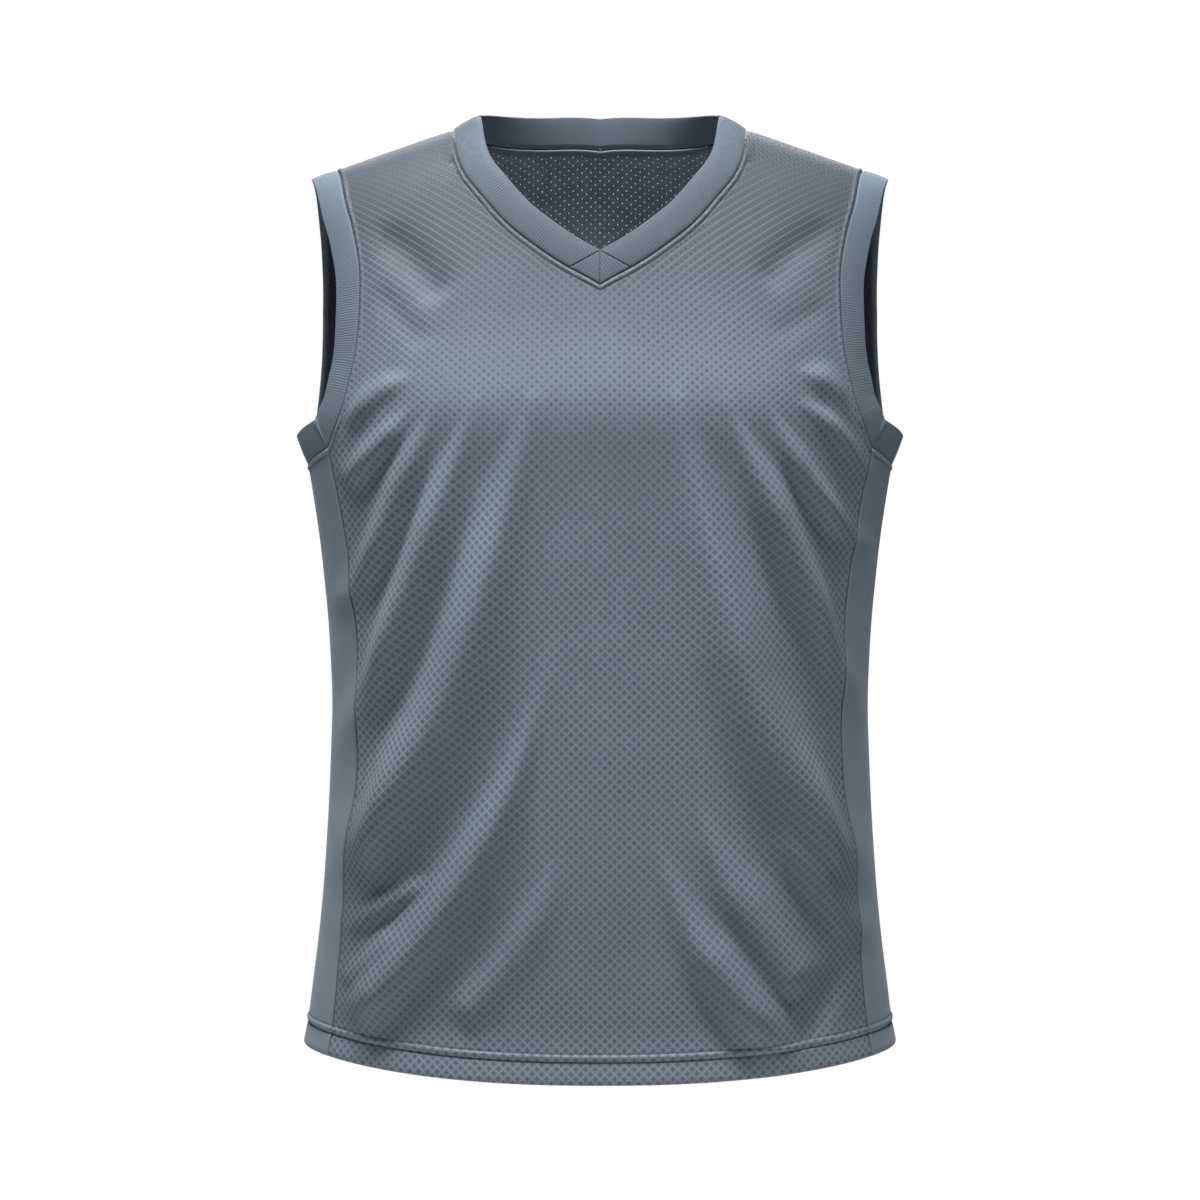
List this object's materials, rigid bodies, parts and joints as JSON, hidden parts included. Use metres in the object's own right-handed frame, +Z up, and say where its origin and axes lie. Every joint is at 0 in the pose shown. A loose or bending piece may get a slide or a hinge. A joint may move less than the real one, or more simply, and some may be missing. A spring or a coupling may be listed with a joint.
{
  "type": "flag football jersey",
  "caption": "Sleeveless V-neck flag football jersey in pinhole mesh knit, filled out with no wearer, with ribbed neckband, armhole bands, side panels and turned-up hem.",
  "frame": {"origin": "midway between the shoulders at the level where the neckband meets them, where the wearer's shoulders hold the jersey up", "axes": "+Z up along the garment, +X to the wearer's left, +Y from the front to the back"},
  "size_m": [0.4612, 0.242, 0.7251],
  "materials": {
    "mesh_knit": "slate blue polyester mesh knit with pinholes, soft sheen",
    "plain_knit": "slate blue plain fine knit, matt",
    "rib_knit": "slate blue fine rib knit, matt"
  },
  "bodies": {
    "root": {"front": "mesh_knit", "back": "mesh_knit", "side_left": "plain_knit", "side_right": "plain_knit", "armband_left": "plain_knit", "armband_right": "plain_knit", "neckband": "rib_knit", "v_gusset_left": "rib_knit", "v_gusset_right": "rib_knit", "back_neck_tape": "plain_knit"}
  },
  "joints": []
}
